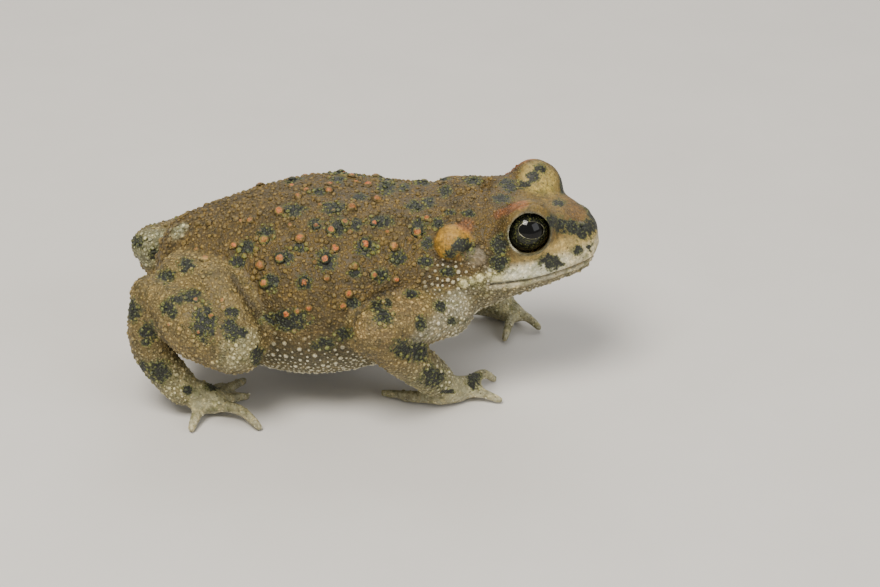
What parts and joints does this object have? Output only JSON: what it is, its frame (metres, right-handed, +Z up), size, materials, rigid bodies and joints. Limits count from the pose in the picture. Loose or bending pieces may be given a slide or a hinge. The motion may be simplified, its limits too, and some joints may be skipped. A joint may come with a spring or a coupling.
{
  "type": "brongersma's toad",
  "caption": "Still life-size model of a small warty toad sitting on all fours with its head raised.",
  "frame": {"origin": "middle of the toad's box, on the floor that it sits on", "axes": "+X forwards, towards the snout; +Y to the toad's left; +Z up"},
  "size_m": [0.056, 0.0342, 0.0259],
  "materials": {
    "back_skin": "matt, warty skin, olive brown with dark green blotches and orange wart tips",
    "head_skin": "matt, finely grained skin, brownish pink with dark green bands and a cream lip",
    "gland_skin": "matt, smooth ochre skin of the parotoid gland",
    "limb_skin": "matt, grained skin, tan to grey green with dark green blotches",
    "foot_skin": "satin, slightly moist skin, pale grey green with cream tips",
    "eye": "wet and very glossy, black with a thin pale gold ring"
  },
  "bodies": {
    "root": {"eye_left": "eye", "eye_right": "eye", "foot_left": "foot_skin", "foot_right": "foot_skin", "forearm_left": "limb_skin", "forearm_right": "limb_skin", "hand_left": "foot_skin", "hand_right": "foot_skin", "head": "head_skin", "parotoid_left": "gland_skin", "parotoid_right": "gland_skin", "shank_left": "limb_skin", "shank_right": "limb_skin", "tarsus_left": "limb_skin", "tarsus_right": "limb_skin", "thigh_left": "limb_skin", "thigh_right": "limb_skin", "torso": "back_skin", "upper_arm_left": "limb_skin", "upper_arm_right": "limb_skin"}
  },
  "joints": []
}
